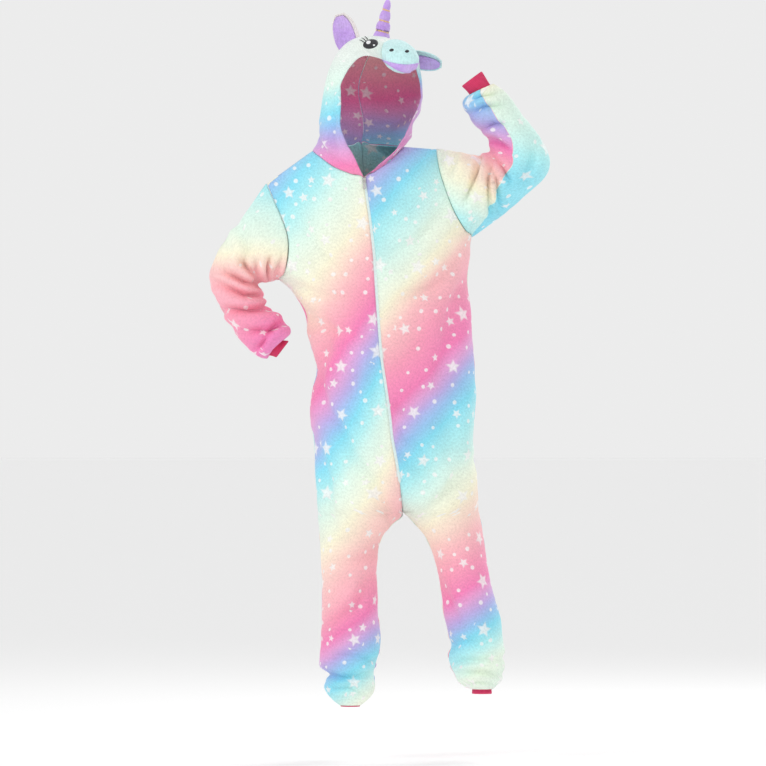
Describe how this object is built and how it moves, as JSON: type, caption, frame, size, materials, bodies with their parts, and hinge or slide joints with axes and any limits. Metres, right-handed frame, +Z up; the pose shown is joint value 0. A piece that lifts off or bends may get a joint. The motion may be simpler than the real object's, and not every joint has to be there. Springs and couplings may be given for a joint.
{
  "type": "hooded unicorn onesie, held up on its wearer's shoulders",
  "caption": "Zip-up hooded onesie in rainbow star fleece, with a unicorn face, horn and ears on the hood and ribbed cuffs, kept in its worn pose.",
  "frame": {"origin": "between the wearer's shoulders at the base of the neck, where the garment is held up", "axes": "+Z up, -Y out of the front, +X to the wearer's left"},
  "size_m": [0.789, 0.289, 1.6603],
  "materials": {
    "fleece": "soft short pile, printed with a rainbow, stars and dots",
    "aqua_fleece": "soft short pile",
    "lilac_fleece": "soft short pile",
    "rib_knit": "ribbed knit",
    "black_felt": "close pile",
    "gold_thread": "twisted thread with a soft shine",
    "zip_tape": "woven tape and moulded teeth",
    "nickel": "polished nickel plate"
  },
  "bodies": {
    "garment": {"front_right": "fleece", "back_right": "fleece", "sleeve_right": "fleece", "hood_right": "fleece", "front_left": "fleece", "back_left": "fleece", "sleeve_left": "fleece", "hood_left": "fleece", "zip_chain": "zip_tape", "wrist_cuff_right": "rib_knit", "wrist_cuff_left": "rib_knit", "ankle_cuff_right": "rib_knit", "ankle_cuff_left": "rib_knit", "muzzle": "aqua_fleece", "eye_right": "black_felt", "eye_left": "black_felt", "nostril_right": "black_felt", "nostril_left": "black_felt", "mouth": "lilac_fleece", "horn": "lilac_fleece", "horn_band_1": "gold_thread", "horn_band_2": "gold_thread", "horn_band_3": "gold_thread", "ear_right": "aqua_fleece", "ear_lining_right": "lilac_fleece", "ear_left": "aqua_fleece", "ear_lining_left": "lilac_fleece", "zip_slider": "nickel"},
    "zip_pull": {"zip_pull": "nickel"}
  },
  "joints": [
    {"name": "zip_pull_swing", "type": "hinge", "parent": "garment", "child": "zip_pull", "pos_m": [0.01024, -0.10925, -0.06125], "axis": [-1, 0, 0], "range_deg": [0, 150]}
  ]
}
